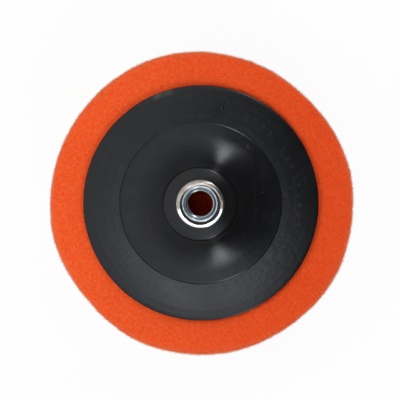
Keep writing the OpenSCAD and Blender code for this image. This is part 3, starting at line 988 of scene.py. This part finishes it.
def floorMaterial(spec):
    material, g, bsdf, place = newMaterial("paleFloor", **{"Roughness": 0.85, "Specular IOR Level": 0.2})
    speckle = g.ramp(g.noise(place, 400.0, 3.0), 0.3, 0.7, 0.97, 1.0)
    g.link(g.mix(speckle, spec["floorSpeckle"], spec["floorColour"]), bsdf.inputs["Base Color"])
    seen = g.add("ShaderNodeLightPath").outputs
    mirrored = g.math("MAXIMUM", seen["Is Glossy Ray"], seen["Is Transmission Ray"])
    x, y = g.axes(place)[:2]
    away = g.distance(x, y)
    far = g.ramp(g.math("DIVIDE", x, away), 0.3, 0.8, spec["farGlow"], spec["farGlow"] * spec["farGlowRight"])
    dimmer = g.ramp(away, *spec["glowFade"], 1.0, far)
    strength = g.math("MAXIMUM", dimmer, seen["Is Camera Ray"])
    glow = g.add("ShaderNodeEmission", {"Color": (1, 1, 1, 1), "Strength": strength})
    share = g.math("MULTIPLY", g.math("MAXIMUM", seen["Is Camera Ray"], mirrored), spec["floorGlow"])
    mixed = g.add("ShaderNodeMixShader", {0: share, 1: bsdf.outputs[0], 2: glow.outputs[0]})
    output = next(n for n in g.tree.nodes if n.bl_idname == "ShaderNodeOutputMaterial")
    g.link(mixed.outputs[0], output.inputs[0])
    return material


floorZ = -0.05  # just under the foam's face
floorMesh = turnedMesh("floorMesh", [(0, floorZ), (400, floorZ), (4000, floorZ)], 64)
floor = newPiece("studio_floor", floorMesh, floorMaterial(studio), None)

world = bpy.data.worlds.new("studioSky")
scene.world = world
world.use_nodes = True
world.node_tree.nodes.clear()
sky = Graph(world.node_tree)
skyX, skyY, skyZ = sky.axes(sky.add("ShaderNodeTexCoord").outputs["Generated"])
skyOut = sky.distance(skyX, skyY)
lean, bend = studio["wallLean"]
blurStart, blurGrowth = studio["wallBlur"]
edgeAt = sky.math("MULTIPLY_ADD", skyOut, sky.math("MULTIPLY_ADD", skyOut, bend, lean), studio["wallStart"])
blur = sky.math("MULTIPLY_ADD", skyOut, blurGrowth, blurStart)
leftSide = sky.ramp(sky.math("DIVIDE", sky.math("SUBTRACT", edgeAt, skyX), blur), 0.0, 1.0)
wall = sky.ramp(skyZ, 0.0, 1.0, studio["wallLow"], studio["wallHigh"], False)
wall = sky.math("MULTIPLY", wall, sky.ramp(sky.math("ABSOLUTE", skyY), 0.35, 0.85, 1.0, 0.7))
total = sky.math("MULTIPLY_ADD", leftSide, wall, studio["darkSide"])
for x, y, inner, outer, strength in studio["lamps"]:
    reach = sky.distance(sky.math("SUBTRACT", skyX, x), sky.math("SUBTRACT", skyY, y))
    total = sky.math("ADD", total, sky.ramp(reach, outer, inner, 0.0, strength))
for azimuth, strength, halfWidth in studio["strips"]:
    c, n = math.cos(math.radians(azimuth)), math.sin(math.radians(azimuth))
    side = sky.math("SUBTRACT", sky.math("MULTIPLY", skyY, c), sky.math("MULTIPLY", skyX, n))
    along = sky.math("ADD", sky.math("MULTIPLY", skyX, c), sky.math("MULTIPLY", skyY, n))
    off = sky.math("POWER", sky.math("DIVIDE", side, halfWidth), 2.0)
    across = sky.math("EXPONENT", sky.math("MULTIPLY", off, -1.0))
    skirt = sky.math("EXPONENT", sky.math("MULTIPLY", off, -studio["skirtWidth"]))
    across = sky.math("MULTIPLY_ADD", skirt, studio["skirt"], across)
    upward = sky.ramp(skyZ, *studio["stripUp"], False)
    ends = sky.math("MULTIPLY", sky.ramp(along, *studio["stripOut"]), upward)
    total = sky.math("MULTIPLY_ADD", sky.math("MULTIPLY", across, ends), strength, total)
total = sky.math("MULTIPLY", total, sky.ramp(skyZ, -0.25, 0.02, 0.3, 1.0))
background = sky.add("ShaderNodeBackground", {"Color": (1, 1, 1, 1), "Strength": total})
sky.link(background.outputs[0], sky.add("ShaderNodeOutputWorld").inputs[0])

hub = Vector((0, 0, ringTop * mm))
for name, azimuth, zenith, distance, size, power in studio["fills"]:
    data = bpy.data.lights.new(name, "AREA")
    data.shape = "SQUARE"
    data.size, data.energy = size, power
    lamp = bpy.data.objects.new(name, data)
    scene.collection.objects.link(lamp)
    a, t = math.radians(azimuth), math.radians(zenith)
    away = Vector((math.sin(t) * math.cos(a), math.sin(t) * math.sin(a), math.cos(t)))
    lamp.location = hub + away * distance
    lamp.rotation_euler = (-away).to_track_quat("-Z", "Y").to_euler()
    lamp.visible_camera = lamp.visible_glossy = False


# Camera: nearly straight down on the hub, leaning about a degree towards +X and +Y
view = {"distance": 0.72, "aim": (-0.45, 1.5, 50.0), "lean": (1.3, 1.1), "lens": 130.0}
aim = Vector(view["aim"]) * mm
leanX, leanY = [math.tan(math.radians(v)) for v in view["lean"]]
back = Vector((leanX, leanY, 1)).normalized()
cameraData = bpy.data.cameras.new("camera")
cameraData.lens = view["lens"]
cameraData.sensor_width = 36.0
cameraData.clip_start = 0.01
camera = bpy.data.objects.new("camera", cameraData)
scene.collection.objects.link(camera)
right = (-back).cross(Vector((0, 1, 0))).normalized()
up = right.cross(-back).normalized()
turnedDown = Matrix((right, up, back)).transposed().to_4x4()
camera.matrix_world = Matrix.Translation(aim + back * view["distance"]) @ turnedDown
scene.camera = camera
scene.view_settings.view_transform = "Standard"
print("studio made")
